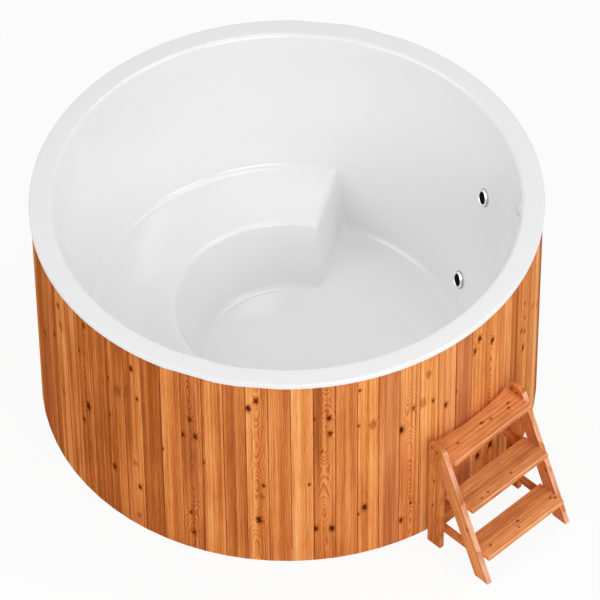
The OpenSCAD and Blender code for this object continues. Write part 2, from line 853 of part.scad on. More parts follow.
module stringer_shape() {
    across = stringer_w / cos(ladder_lean);
    intersection() {
        side_outline();
        translate([post_front + fit, 0]) square([ladder_d, ladder_h]);
        polygon([[foot_u, 0], [foot_u - across, 0],
            [front_u(ladder_h) - across, ladder_h], [front_u(ladder_h), ladder_h]]);
    }
}

module ladder_side(v) {
    difference() {
        upright(v, side_t) children();
        ladder_screw_set(screw_r + running);
    }
}

module left_post() { color("sienna") ladder_side(-ladder_w / 2) post_shape(); }
module right_post() { color("sienna") ladder_side(side_v) post_shape(); }
module left_stringer() { color("sienna") ladder_side(-ladder_w / 2) stringer_shape(); }
module right_stringer() { color("sienna") ladder_side(side_v) stringer_shape(); }

// Tread i from its nose back over depth d, with its front edges rounded
module tread_shape(i, d) {
    nose = nose_u(i);
    low = tread_top(i) - tread_t;
    polygon(concat([[nose - d, low]],
        arc([nose - nose_round, low + nose_round], nose_round, -90, 0, 5),
        arc([nose - nose_round, low + tread_t - nose_round], nose_round, 0, 90, 5),
        [[nose - d, low + tread_t]]));
}

module tread(i, d) {
    upright(-side_v + fit, 2 * (side_v - fit)) tread_shape(i, d);
}

module bottom_tread() { color("peru") tread(0, tread_d); }
module middle_tread() { color("peru") tread(1, tread_d); }

// The top tread's rear edge follows the round of the tub
module top_tread() {
    color("peru") difference() {
        tread(2, nose_u(2) - post_u + 60);
        translate([0, 0, tread_top(2) - tread_t - 1])
            cylinder(r = tread_arc_r, h = tread_t + 2, $fn = 360);
    }
}

function rail_top(i) = tread_top(i) - tread_t - fit;
function rail_mid(i) = rail_top(i) - rail_h / 2;
function stringer_mid_u(z) = front_u(z) - stringer_w / cos(ladder_lean) / 2;

// A rail runs from the rear of the post to just behind the front of the stringer
module rail_shape(i) {
    low = rail_top(i) - rail_h;
    intersection() {
        translate([post_u, low]) square([ladder_d, rail_h]);
        polygon([[post_u, 0], [foot_u - rail_back, 0],
            [front_u(ladder_h) - rail_back, ladder_h], [post_u, ladder_h]]);
    }
}

module tread_rails() {
    color("sienna") difference() {
        for (i = [0:2], v = [-side_v + fit, side_v - fit - rail_w]) upright(v, rail_w) rail_shape(i);
        ladder_screw_set(screw_r + running);
    }
}

cross_u = post_u + (post_w - cross_t) / 2;

module rear_cross_bar() {
    color("sienna") difference() {
        translate([-side_v + rail_w + 2 * fit, -cross_u - cross_t, cross_at])
            cube([2 * (side_v - rail_w - 2 * fit), cross_t, cross_h]);
        ladder_screw_set(screw_r + running);
    }
}

// A ladder screw points from the inside of a side frame outwards
module side_screw(side, u, z, from, l, r, head) {
    mirror([side < 0 ? 1 : 0, 0, 0]) translate([from, -u, z]) rotate([0, 90, 0]) {
        cylinder(r = r, h = l);
        if (head) translate([0, 0, -screw_head_t]) cylinder(r = screw_head_r, h = screw_head_t);
    }
}

module ladder_screw_set(r, head = false) {
    rail_in = side_v - fit - rail_w;
    for (side = [-1, 1], i = [0:2], u = [post_u + 16, stringer_mid_u(rail_mid(i))])
        side_screw(side, u, rail_mid(i), rail_in, rail_w + 14, r, head);
}

module ladder_screws() { color("silver") ladder_screw_set(screw_r, true); }

liner();
cladding_panel(0);  // cladding_01
cladding_panel(1);  // cladding_02
cladding_panel(2);  // cladding_03
cladding_panel(3);  // cladding_04
cladding_panel(4);  // cladding_05
cladding_panel(5);  // cladding_06
cladding_panel(6);  // cladding_07
cladding_panel(7);  // cladding_08
cladding_panel(8);  // cladding_09
cladding_panel(9);  // cladding_10
cladding_panel(10);  // cladding_11
cladding_panel(11);  // cladding_12
top_ring();
middle_ring();
bottom_ring();
frame_studs();
floor_deck();
base_joists();
floor_foam();
wall_foam();
bench_ribs();
cladding_screws();
deck_screws();
upper_port_ring();
upper_port_body();
upper_port_pipe();
lower_port_ring();
lower_port_body();
lower_port_pipe();
port_gaskets();
port_nuts();
pipe_collars();
overflow_cover();
overflow_body();
overflow_nut();
overflow_hose();
drain_strainer();
drain_body();
drain_gasket();
drain_nut();
drain_pipe();
valve_body();
valve_seats();
valve_ball();
valve_stem();
valve_lever();
valve_lever_nut();
valve_outlet();
left_post();
right_post();
left_stringer();
right_stringer();
bottom_tread();
middle_tread();
top_tread();
tread_rails();
rear_cross_bar();
ladder_screws();
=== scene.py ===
"""Looks of a round cold plunge tub: a glossy white moulded liner in a drum of upright
softwood boards, with wall ports, a drain valve and a step ladder beside it."""

import json
import math
import random

import bmesh
import bpy
from mathutils import Matrix, Vector


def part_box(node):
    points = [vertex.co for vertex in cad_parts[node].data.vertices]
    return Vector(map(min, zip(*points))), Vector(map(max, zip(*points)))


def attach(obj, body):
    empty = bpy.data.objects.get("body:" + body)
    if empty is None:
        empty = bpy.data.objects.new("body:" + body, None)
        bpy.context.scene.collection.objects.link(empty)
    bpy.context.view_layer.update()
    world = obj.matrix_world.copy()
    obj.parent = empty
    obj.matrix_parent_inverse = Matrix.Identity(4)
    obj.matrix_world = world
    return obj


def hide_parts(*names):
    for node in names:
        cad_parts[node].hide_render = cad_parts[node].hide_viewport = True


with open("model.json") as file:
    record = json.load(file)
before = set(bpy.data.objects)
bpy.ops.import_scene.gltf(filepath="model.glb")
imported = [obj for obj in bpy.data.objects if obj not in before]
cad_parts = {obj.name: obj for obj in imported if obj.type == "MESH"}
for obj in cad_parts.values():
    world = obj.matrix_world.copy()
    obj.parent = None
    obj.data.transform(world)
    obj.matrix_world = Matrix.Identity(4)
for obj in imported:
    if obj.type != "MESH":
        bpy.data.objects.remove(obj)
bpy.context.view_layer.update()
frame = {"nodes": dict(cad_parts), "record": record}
nodes = frame["nodes"]

# Sizes of the solids, in metres and degrees
RIM_R = 1.0
TUB_H = 1.016
RIM_W = 0.088
LIP_DROP = 0.019
LIP_T = 0.0045
SHELL_T = 0.008
WALL_LEAN = 13
FLOOR_Z = 0.143
SEAT_Z = 0.412
SEAT_W = 0.320
RISER_LEAN = 21
BENCH_FROM, BENCH_TO = 121, 301
BOARDS = 73
BOARD_STEP = 360 / BOARDS
SEAM_AT = 0.75
BOARD_R = 0.9935
BOARD_T = 0.020
SEAM = 0.0008
BOARD_FOOT, BOARD_TOP = 0.006, 1.004
PORT_AT, PORT_HEIGHTS = 66.8, (0.697, 0.267)
PIPE_HEIGHTS = (0.67855, 0.24855)
PAD_R, PORT_HOLE_R, PORT_BORE_R, PORT_EDGE_R = 0.040, 0.0295, 0.025, 0.034
OVERFLOW_AT, OVERFLOW_Z = 43.6, 0.966
OVERFLOW_PAD_R, OVERFLOW_HOLE_R = 0.0245, 0.0125
PAD_RISE, PAD_BACK, PAD_EDGE = 0.0025, 0.0105, 0.0008
DRAIN_X, DRAIN_Z = -0.2503, 0.098
DRAIN_HOLE_R = 0.031
PIPE_WAY_R, DRAIN_WAY_R = 0.0255, 0.0215

# The photo's camera looks from this side, counted from -Y towards +X
PHOTO_VIEW = -43.8


def tan(angle):
    return math.tan(math.radians(angle))


def sin(angle):
    return math.sin(math.radians(angle))


def cos(angle):
    return math.cos(math.radians(angle))


def around(angle, radius, z=0.0):
    """The point at an angle counted from -Y towards +X."""
    return Vector((radius * sin(angle), -radius * cos(angle), z))


def wall_r(z):
    return RIM_R - RIM_W - (TUB_H - z) * tan(WALL_LEAN)


def at_wall(angle, z):
    """Square to the leaning wall, with +Z out of the tub."""
    place = Matrix.Translation(around(angle, wall_r(z), z))
    turn = Matrix.Rotation(math.radians(angle), 4, "Z")
    return place @ turn @ Matrix.Rotation(math.radians(90 + WALL_LEAN), 4, "X")


# Shader maths


class Value:
    """A socket; sums on it add Math nodes to its paint."""

    def __init__(self, paint, socket):
        self.paint, self.socket = paint, socket

    def maths(self, operation, *values):
        return self.paint.maths(operation, self, *values)

    def __add__(self, other):
        return self.maths("ADD", other)

    def __sub__(self, other):
        return self.maths("SUBTRACT", other)

    def __mul__(self, other):
        return self.maths("MULTIPLY", other)

    def __truediv__(self, other):
        return self.maths("DIVIDE", other)

    def __rsub__(self, other):
        return self.paint.maths("SUBTRACT", other, self)

    __radd__ = __add__
    __rmul__ = __mul__


class Paint:
    """A material's node tree, and the one way in which nodes are added to it."""

    def __init__(self, name):
        self.material = bpy.data.materials.new(name)
        self.material.use_nodes = True
        self.tree = self.material.node_tree
        self.shader = self.tree.nodes["Principled BSDF"]

    def node(self, kind, settings=None, inputs=None, output=0):
        node = self.tree.nodes.new(kind)
        for key, value in (settings or {}).items():
            if key == "stops":
                ramp = node.color_ramp
                while len(ramp.elements) < len(value):
                    ramp.elements.new(1.0)
                for element, (place, colour) in zip(ramp.elements, value):
                    element.position = place
                    element.color = (*colour, 1.0)
            else:
                setattr(node, key, value)
        for key, value in (inputs or {}).items():
            self.put(node.inputs[key], value)
        return Value(self, node.outputs[output])

    def put(self, socket, value):
        if isinstance(value, Value):
            self.tree.links.new(value.socket, socket)
        elif socket.type == "RGBA" and len(value) == 3:
            socket.default_value = (*value, 1.0)
        else:
            socket.default_value = value

    def maths(self, operation, *values):
        return self.node("ShaderNodeMath", {"operation": operation}, dict(enumerate(values)))

    def step(self, value, start, end, low=0.0, high=1.0):
        """Goes smoothly from low to high while value goes from start to end."""
        return self.node(
            "ShaderNodeMapRange",
            {"interpolation_type": "SMOOTHSTEP"},
            {"Value": value, "From Min": start, "From Max": end, "To Min": low, "To Max": high},
        )

    def vector(self, x, y, z=0.0):
        return self.node("ShaderNodeCombineXYZ", None, {"X": x, "Y": y, "Z": z})

    def split(self, vector):
        node = self.tree.nodes.new("ShaderNodeSeparateXYZ")
        self.put(node.inputs[0], vector)
        return [Value(self, socket) for socket in node.outputs]

    def noise(self, vector, scale, detail=2.0, roughness=0.5):
        return self.node(
            "ShaderNodeTexNoise",
            None,
            {"Vector": vector, "Scale": scale, "Detail": detail, "Roughness": roughness},
        )

    def blend(self, factor, first, second, how="MIX"):
        mix = self.tree.nodes.new("ShaderNodeMix")
        mix.data_type, mix.blend_type = "RGBA", how
        for key, value in ((0, factor), (6, first), (7, second)):
            self.put(mix.inputs[key], value)
        return Value(self, mix.outputs[2])

    def ramp(self, value, stops):
        return self.node("ShaderNodeValToRGB", {"stops": stops}, {"Fac": value})

    def place(self):
        return self.node("ShaderNodeTexCoord", None, None, "Object")

    def bump(self, height, strength, distance):
        return self.node(
            "ShaderNodeBump", None, {"Height": height, "Strength": strength, "Distance": distance}
        )

    def finish(self, **sockets):
        for key, value in sockets.items():
            self.put(self.shader.inputs[key.replace("_", " ")], value)
        return self.material


# Wood. Its pieces carry the run of their grain as an attribute: across, along and deep, in metres

KNOTS = 6
SEAM_SHADE = (0.13, 0.032, 0.010)
# The second colour here is a painted highlight for rounded front edges that catch the light
PINK_WOOD, HIGHLIGHT_WOOD = (0.62, 0.25, 0.13), (0.90, 0.47, 0.27)
KNOT_HALO, KNOT_BROWN, KNOT_BLACK = (0.36, 0.095, 0.014), (0.17, 0.030, 0.003), (0.080, 0.016, 0.003)
DARK_WOOD, RED_WOOD, MID_WOOD, PALE_WOOD, CREAM_WOOD = (
    (0.31, 0.075, 0.013),
    (0.48, 0.130, 0.024),
    (0.72, 0.240, 0.056),
    (0.90, 0.385, 0.108),
    (0.98, 0.56, 0.220),
)


def softwood(name, ring, tint, roughness, streaks, mottling, half_width=None):
    """Knotty softwood with its rings this far apart. half_width darkens a board's seams."""
    paint = Paint(name)
    grain = paint.node("ShaderNodeAttribute", {"attribute_name": "grain"}, None, "Vector")
    look = paint.node("ShaderNodeAttribute", {"attribute_name": "look"}, None, "Vector")
    across, along, deep = paint.split(grain)
    tone, figure, pink = paint.split(look)
    worn = paint.node("ShaderNodeAttribute", {"attribute_name": "worn"}, None, "Vector")
    behind = paint.split(worn)[0]

    # Knots bend the rings round them, and only the big ones are nearly black
    ragged = paint.noise(paint.vector(across * 120, along * 120, deep * 120), 1.0, 1.0) - 0.5
    bulge, core, halo, big = None, None, None, None
    for number in range(1, KNOTS + 1):
        knot = paint.node("ShaderNodeAttribute", {"attribute_name": f"knot_{number}"}, None, "Vector")
        knot_across, knot_along, knot_r = paint.split(knot)
        size = knot_r.maths("ABSOLUTE").maths("MAXIMUM", 0.00001)
        dx = (across - knot_across) / size
        dy = (along - knot_along) / size
        reach = (dx * dx + dy * dy * 0.35).maths("SQRT")
        near = (reach * reach * -0.22).maths("EXPONENT") * size
        dark = paint.step(reach + ragged * 1.5, 1.05, 0.65) * paint.maths("GREATER_THAN", knot_r, 0.0)
        soft = paint.step(reach + ragged * 1.4, 2.1, 0.8)
        black = dark * paint.step(size, 0.0065, 0.0105)
        bulge = near if bulge is None else bulge + near
        core = dark if core is None else core.maths("MAXIMUM", dark)
        halo = soft if halo is None else halo.maths("MAXIMUM", soft)
        big = black if big is None else big.maths("MAXIMUM", black)

    # Rings round a heart that wanders behind the face
    wander = paint.noise(paint.vector(along * 1.6, deep * 0.0, 3.0), 1.0, 1.0) - 0.5
    heart = wander * 0.06 + (1 - figure) * 0.13
    depth = paint.noise(paint.vector(along * 3.0, 7.0, 0.0), 1.0, 1.0) * 0.16 - 0.055
    radius = ((across - heart) * (across - heart) + depth * depth).maths("SQRT")
    wobble = paint.noise(paint.vector(across * 24, along * 5.5, deep * 22), 1.0, 2.5) - 0.5
    rings = (radius + bulge * 1.7 + wobble * 0.010) / ring
    part = rings.maths("FRACT")
    late = paint.step(part, 0.30, 0.92) * paint.step(part, 1.0, 0.93)
    strong = paint.noise(paint.vector(rings * 0.35, along * 0.6, 0.0), 1.0, 0.0)

    fibre = paint.noise(paint.vector(across * 900, along * 14, deep * 900), 1.0, 2.0) - 0.5
    streak = paint.noise(paint.vector(across * 95, along * 0.9, deep * 30), 1.0, 2.0) - 0.5
    band = paint.noise(paint.vector(across * 28, along * 0.5, deep * 10), 1.0, 0.0) - 0.5
    cloud = paint.noise(paint.vector(across * 9, along * 2.6, 1.0), 1.0, 1.0) - 0.5
    mottle = paint.noise(paint.vector(across * 110, along * 13, deep * 90), 1.0, 3.0) - 0.5
    shade = (
        tone
        + (streak * 1.1 + band * 0.65) * (figure * 0.25 + 0.8) * streaks
        + mottle * mottling
        + cloud * 0.36
        + fibre * 0.30
        - late * (strong * 0.40 + 0.04) * streaks
        - halo * 0.16
    )
    colour = paint.ramp(
        shade,
        [(0.0, DARK_WOOD), (0.25, RED_WOOD), (0.5, MID_WOOD), (0.75, PALE_WOOD), (1.0, CREAM_WOOD)],
    )
    colour = paint.blend(pink, colour, paint.blend(0.5, colour, PINK_WOOD))
    colour = paint.blend(halo * 0.45, colour, KNOT_HALO)
    colour = paint.blend(core * 0.92, colour, KNOT_BROWN)
    colour = paint.blend(big * 0.8, colour, KNOT_BLACK)
    # Painted highlight: a pale band a few millimetres deep along a front edge, patchy with the grain
    edge_highlight = paint.step(behind + wobble * 0.004, 0.0075, 0.004) * paint.step(behind, 0.0004, 0.0016)
    highlight_patches = edge_highlight * (cloud * 0.9 + mottle * 0.8 - late * 0.45 + 0.58)
    colour = paint.blend(highlight_patches, colour, HIGHLIGHT_WOOD)
    # A darker line 7 to 16 mm behind the front edge
    dark_line = paint.step(behind, 0.016, 0.012) * paint.step(behind, 0.007, 0.010)
    colour = paint.blend(dark_line * 0.4, colour, RED_WOOD)
    if half_width:
        seam = paint.step(across.maths("ABSOLUTE"), half_width - 0.0034, half_width - 0.0016)
        colour = paint.blend(seam * 0.32, colour, SEAM_SHADE)
    colour = paint.blend(1.0, colour, tint, "MULTIPLY")
    return paint.finish(
        Base_Color=colour,
        Roughness=late * -0.06 + fibre * 0.12 + roughness,
        Specular_IOR_Level=0.0,
        Normal=paint.bump(fibre * 0.6 + late * 0.5 - core, 0.25, 0.0006),
    )


def rough_timber(name, dark, pale, ring=0.004):
    """Plain sawn timber and plywood that the finished tub hides."""
    paint = Paint(name)
    x, y, z = paint.split(paint.place())
    wave = paint.noise(paint.vector(x * 7, y * 7, z * 2), 1.0, 3.0)
    fine = paint.noise(paint.vector(x * 300, y * 300, z * 60), 1.0, 2.0)
    ply = ((z / ring + wave * 0.6).maths("FRACT") - 0.5).maths("ABSOLUTE")
    colour = paint.ramp(wave * 0.6 + fine * 0.35 + ply * 0.25, [(0.25, dark), (0.8, pale)])
    return paint.finish(
        Base_Color=colour, Roughness=fine * 0.15 + 0.62, Normal=paint.bump(fine, 0.3, 0.0006)
    )


def plain(name, colour, roughness, grain_scale=180.0, change=0.08, depth=0.0002, **sockets):
    """A moulded, cast or rolled finish with fine changes of colour and gloss."""
    paint = Paint(name)
    place = paint.place()
    fine = paint.noise(place, grain_scale, 3.0)
    broad = paint.noise(place, 6.0, 2.0)
    light = tuple(min(1.0, c * (1 + change)) for c in colour)
    dark = tuple(c * (1 - change) for c in colour)
    mixed = paint.ramp(fine * 0.4 + broad * 0.6, [(0.3, dark), (0.7, light)])
    return paint.finish(
        Base_Color=mixed,
        Roughness=fine * 0.1 + broad * 0.06 + (roughness - 0.08),
        Normal=paint.bump(fine, 0.2, depth),
        **sockets,
    )


def brushed(name, colour, roughness):
    """Metal with fine turning marks."""
    paint = Paint(name)
    x, y, z = paint.split(paint.place())
    lines = paint.noise(paint.vector(x * 40, y * 40, z * 2500), 1.0, 2.0)
    patch = paint.noise(paint.place(), 25.0, 2.0)
    dark = tuple(c * 0.86 for c in colour)
    return paint.finish(
        Base_Color=paint.ramp(lines * 0.5 + patch * 0.5, [(0.3, dark), (0.7, colour)]),
        Metallic=1.0,
        Roughness=lines * 0.12 + patch * 0.08 + (roughness - 0.1),
        Normal=paint.bump(lines, 0.12, 0.0001),
    )


def lined_chrome(name, foot, axis, bore, edge):
    """Bright chrome round an axis through foot, black on the bore's lining, and a painted shade past edge:
    darker and duller, standing in for the shading of the outer bevel.
    """
    paint = Paint(name)
    off = paint.node(
        "ShaderNodeVectorMath", {"operation": "SUBTRACT"}, {0: paint.place(), 1: foot}
    )
    across = paint.node("ShaderNodeVectorMath", {"operation": "CROSS_PRODUCT"}, {0: off, 1: axis})
    radius = paint.node("ShaderNodeVectorMath", {"operation": "LENGTH"}, {0: across}, "Value")
    metal = paint.step(radius, bore + 0.0004, bore + 0.0009)
    # Painted shade: past edge the ring is coloured darker and made rougher, to show its bevel's shading
    edge_shade = paint.step(radius, edge - 0.0006, edge + 0.0006)
    bright = paint.blend(edge_shade, (0.90, 0.90, 0.91), (0.44, 0.44, 0.45))
    fine = paint.noise(paint.place(), 60.0, 2.0)
    return paint.finish(
        Base_Color=paint.blend(metal, (0.004, 0.004, 0.004), bright),
        Metallic=metal,
        Roughness=fine * 0.1 + edge_shade * 0.15 + 0.2,
    )


def gelcoat():
    """Glossy white moulding with faint orange peel."""
    paint = Paint("white_gelcoat")
    place = paint.place()
    peel = paint.noise(place, 140.0, 2.0)
    broad = paint.noise(place, 1.4, 2.0)
    colour = paint.ramp(broad, [(0.3, (0.915, 0.915, 0.917)), (0.7, (0.930, 0.930, 0.930))])
    return paint.finish(
        Base_Color=colour,
        Roughness=broad * 0.05 + peel * 0.03 + 0.10,
        Normal=paint.bump(peel, 0.05, 0.0001),
        IOR=1.7,
    )


def foam():
    paint = Paint("foam")
    cells = paint.node(
        "ShaderNodeTexVoronoi", None, {"Vector": paint.place(), "Scale": 260.0}, "Distance"
    )
    colour = paint.ramp(cells, [(0.0, (0.62, 0.56, 0.38)), (0.5, (0.86, 0.81, 0.62))])
    return paint.finish(
        Base_Color=colour, Roughness=cells * 0.1 + 0.85, Normal=paint.bump(cells, 0.5, 0.001)
    )


finishes = {
    "white_gelcoat": gelcoat(),
    "cladding_wood": softwood(
        "cladding_wood", 0.0062, (1.07, 1.04, 1.13), 0.42, 1.0, 0.25, BOARD_R * tan(BOARD_STEP / 2)
    ),
    "ladder_wood": softwood("ladder_wood", 0.0070, (1.19, 1.33, 1.60), 0.40, 0.6, 0.55),
    "plywood": rough_timber("plywood", (0.42, 0.26, 0.12), (0.66, 0.46, 0.26), 0.0021),
    "stud_wood": rough_timber("stud_wood", (0.50, 0.32, 0.15), (0.74, 0.54, 0.30), 0.03),
    "treated_wood": rough_timber("treated_wood", (0.16, 0.14, 0.06), (0.32, 0.28, 0.14), 0.03),
    "foam": foam(),
    "zinc_steel": brushed("zinc_steel", (0.68, 0.68, 0.70), 0.38),
    "bright_chrome": brushed("bright_chrome", (0.86, 0.87, 0.88), 0.16),
    "black_plastic": plain("black_plastic", (0.010, 0.010, 0.011), 0.5),
    "grey_pipe": plain("grey_pipe", (0.34, 0.35, 0.36), 0.45),
    "black_rubber": plain("black_rubber", (0.016, 0.016, 0.017), 0.72, 400.0),
    "white_plastic": plain("white_plastic", (0.86, 0.86, 0.87), 0.3, change=0.02),
    "grey_hose": plain("grey_hose", (0.22, 0.23, 0.24), 0.5),
    "stainless": brushed("stainless", (0.70, 0.70, 0.69), 0.3),
    "brass": brushed("brass", (0.72, 0.50, 0.20), 0.34),
    "seat_plastic": plain("seat_plastic", (0.80, 0.80, 0.77), 0.4),
    "lever_red": plain("lever_red", (0.42, 0.020, 0.014), 0.32, Coat_Weight=0.4),
}

for level, z in zip(("lower", "upper"), sorted(PORT_HEIGHTS)):
    place = at_wall(PORT_AT, z)
    finishes[f"{level}_port_ring"] = lined_chrome(
        f"{level}_port_ring", place.translation, place.col[2].xyz, PORT_BORE_R, PORT_EDGE_R
    )

slots = {part["node"]: part["material_slot"] for part in frame["record"]["subparts"]}
for name, node in nodes.items():
    node.data.materials.clear()
    node.data.materials.append(finishes.get(name, finishes[slots[name]]))


# Pieces


def make_piece(name, bm, body, *stands_for):
    """A finished object from a bmesh, riding on its body in place of CAD nodes."""
    mesh = bpy.data.meshes.new(name)
    bm.to_mesh(mesh)
    bm.free()
    piece = bpy.data.objects.new(name, mesh)
    bpy.context.collection.objects.link(piece)
    slot = slots[stands_for[0]]
    mesh.materials.append(finishes[slot])
    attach(piece, body)
    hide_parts(*stands_for)
    return piece


def smooth(mesh, sharp_from):
    """Smooth shading that breaks at edges sharper than an angle."""
    bm = bmesh.new()
    bm.from_mesh(mesh)
    for face in bm.faces:
        face.smooth = True
    for edge in bm.edges:
        if len(edge.link_faces) == 2:
            edge.smooth = edge.calc_face_angle(0.0) < math.radians(sharp_from)
    bm.to_mesh(mesh)
    bm.free()


def arc(centre, radius, start, end, count):
    return [
        (centre[0] + radius * cos(start + (end - start) * i / count),
         centre[1] + radius * sin(start + (end - start) * i / count))
        for i in range(count + 1)
    ]


def fillet(r, z, lean, radius, count):
    """Concave, from a level at z up into a line that leans outwards."""
    rise = radius * (1 - sin(lean))
    centre = (r + rise * tan(lean) - radius * cos(lean), z + radius)
    return arc(centre, radius, -90, -lean, count)


def rounded(r, z, lean, radius, count):
    """Convex, from a line that leans outwards over to a level at z."""
    drop = radius * (1 - sin(lean))
    centre = (r - drop * tan(lean) + radius * cos(lean), z - radius)
    return arc(centre, radius, 180 - lean, 90, count)


def between(start, end, count):
    """Points strictly between two points."""
    return [
        tuple(a + (b - a) * i / (count + 1) for a, b in zip(start, end))
        for i in range(1, count + 1)
    ]


# Liner


def liner_profiles():
    """The inside from the middle of the floor to the foot of the lip, as pairs of points:
    where there is no bench, and where there is one."""
    seat_out = wall_r(SEAT_Z)
    seat_in = seat_out - SEAT_W
    foot = fillet(seat_in - (SEAT_Z - FLOOR_Z) * tan(RISER_LEAN), FLOOR_Z, RISER_LEAN, 0.035, 9)
    front = rounded(seat_in, SEAT_Z, RISER_LEAN, 0.025, 8)
    back = fillet(seat_out, SEAT_Z, WALL_LEAN, 0.035, 9)
    low = fillet(wall_r(FLOOR_Z), FLOOR_Z, WALL_LEAN, 0.060, 10)
    floor = [(0.0, FLOOR_Z)] + between((0.0, FLOOR_Z), foot[0], 5)
    riser = floor + foot + between(foot[-1], front[0], 4) + front
    pairs = [((r, FLOOR_Z), (r, z)) for r, z in riser]
    seat_break = (back[0][0] - 0.045, SEAT_Z)
    pairs += zip(between((front[-1][0], FLOOR_Z), low[0], 6), between(front[-1], seat_break, 6))
    pairs += zip(low, [seat_break] + between(seat_break, back[0], 9) + [back[0]])
    pairs += zip(between(low[-1], back[-1], 8) + [back[-1]], back[1:])
    edge = 0.006
    rim = between(back[-1], (wall_r(TUB_H - 0.05), TUB_H - 0.05), 8)
    rim += rounded(RIM_R - RIM_W, TUB_H, WALL_LEAN, 0.018, 8)
    rim += [(RIM_R - 0.05, TUB_H), (RIM_R - 0.02, TUB_H)]
    rim += arc((RIM_R - edge, TUB_H - edge), edge, 90, 0, 5)
    rim += [(RIM_R, TUB_H - 0.013), (RIM_R, TUB_H - LIP_DROP)]
    return pairs + [(point, point) for point in rim]


def bench_end(end, way):
    """Columns of points through the rounded end of the bench: angle, offset in metres towards
    the open side, and the share of the bench's height."""
    height = SEAT_Z - FLOOR_Z
    lean = 8
    top = rounded(0.0, height, lean, 0.025, 7)
    foot = fillet(-height * tan(lean), 0.0, lean, 0.035, 8)
    line = foot + between(foot[-1], top[0], 3) + top
    columns = [(end, -offset * way, share / height) for offset, share in line]
    return columns if way < 0 else columns[::-1]


def liner_columns():
    margin = 13.0
    steps = 66
    bench = [
        (BENCH_FROM + margin + (BENCH_TO - BENCH_FROM - 2 * margin) * i / steps, 0.0, 1.0)
        for i in range(steps + 1)
    ]
    free = [
        (BENCH_TO + margin + (360 - BENCH_TO + BENCH_FROM - 2 * margin) * i / steps, 0.0, 0.0)
        for i in range(steps + 1)
    ]
    return bench + bench_end(BENCH_TO, 1) + free + bench_end(BENCH_FROM, -1)


def disc(place, radius, low, high, edge=0.0):
    """A short cylinder, with rounded rims if edge is given, as a loose object for a cut or a boss."""
    bm = bmesh.new()
    bmesh.ops.create_cone(
        bm, cap_ends=True, segments=72, radius1=radius, radius2=radius, depth=high - low
    )
    if edge:
        rims = [e for e in bm.edges if abs(e.verts[0].co.z - e.verts[1].co.z) < 1e-6]
        bmesh.ops.bevel(
            bm, geom=rims, offset=edge, segments=3, profile=0.5, affect="EDGES", material=-1
        )
    bmesh.ops.translate(bm, verts=bm.verts, vec=(0, 0, (low + high) / 2))
    bmesh.ops.transform(bm, matrix=place, verts=bm.verts)
    mesh = bpy.data.meshes.new("cutter")
    bm.to_mesh(mesh)
    bm.free()
    cutter = bpy.data.objects.new("cutter", mesh)
    bpy.context.collection.objects.link(cutter)
    return cutter


def cut(piece, cutters, added=()):
    """Takes the cutters out of a piece one by one, or joins them on where they are in added."""
    finish = piece.data.materials[0]
    for cutter in cutters:
        change = piece.modifiers.new("cut", "BOOLEAN")
        change.object = cutter
        change.solver = "EXACT"
        change.operation = "UNION" if cutter in added else "DIFFERENCE"
    bpy.context.view_layer.update()
    piece.data = bpy.data.meshes.new_from_object(
        piece.evaluated_get(bpy.context.evaluated_depsgraph_get())
    )
    piece.modifiers.clear()
    piece.data.materials.clear()
    piece.data.materials.append(finish)
    for cutter in cutters:
        bpy.data.objects.remove(cutter)


def make_liner():
    pairs = liner_profiles()
    columns = liner_columns()
    bm = bmesh.new()
    ring = bm.verts.layers.int.new("ring")
    chain = [bm.verts.new((0, -open_side[0], open_side[1])) for open_side, _ in pairs]
    for number, vert in enumerate(chain):
        vert[ring] = number
    edges = [bm.edges.new(pair) for pair in zip(chain, chain[1:])]
    bmesh.ops.spin(
        bm, geom=chain + edges, cent=(0, 0, 0), axis=(0, 0, 1),
        angle=math.tau, steps=len(columns), use_merge=True,
    )
    bmesh.ops.remove_doubles(bm, verts=bm.verts, dist=1e-6)
    for vert in bm.verts:
        if vert.co.xy.length < 1e-6:
            continue
        turn = math.atan2(vert.co.x, -vert.co.y) % math.tau
        angle, offset, share = columns[round(turn / math.tau * len(columns)) % len(columns)]
        (r0, z0), (r1, z1) = pairs[vert[ring]]
        r, z = r0 + (r1 - r0) * share, z0 + (z1 - z0) * share
        vert.co = around(angle + math.degrees(offset / max(r, 0.34)), r, z)
    bmesh.ops.recalc_face_normals(bm, faces=bm.faces)
    if sum(face.normal.z * face.calc_area() for face in bm.faces) < 0:
        bmesh.ops.reverse_faces(bm, faces=bm.faces)
    bm.verts.index_update()
    lip = [v.index for v in bm.verts if v.co.z > 0.9 and v.co.xy.length > RIM_R - 0.001]
    rest = sorted(set(range(len(bm.verts))) - set(lip))
    bm.verts.layers.int.remove(ring)
    piece = make_piece("moulded_liner", bm, "tub", "liner")

    thick = piece.vertex_groups.new(name="thick")
    thick.add(rest, 1.0, "REPLACE")
    thick.add(lip, LIP_T / SHELL_T, "REPLACE")
    shell = piece.modifiers.new("shell", "SOLIDIFY")
    shell.thickness, shell.offset, shell.use_even_offset = SHELL_T, -1.0, True
    shell.vertex_group = "thick"
    ports = [at_wall(PORT_AT, z) for z in PORT_HEIGHTS]
    overflow = at_wall(OVERFLOW_AT, OVERFLOW_Z)
    bosses = [disc(place, PAD_R, -PAD_RISE, PAD_BACK, PAD_EDGE) for place in ports]
    bosses.append(disc(overflow, OVERFLOW_PAD_R, -PAD_RISE, PAD_BACK, PAD_EDGE))
    holes = [disc(place, PORT_HOLE_R, -0.02, 0.04) for place in ports]
    holes.append(disc(overflow, OVERFLOW_HOLE_R, -0.02, 0.03))
    holes.append(disc(Matrix.Translation((DRAIN_X, 0, FLOOR_Z)), DRAIN_HOLE_R, -0.02, 0.02))
    cut(piece, holes[-1:] + bosses + holes[:-1], bosses)
    piece.vertex_groups.clear()
    smooth(piece.data, 35)


make_liner()


# Timber


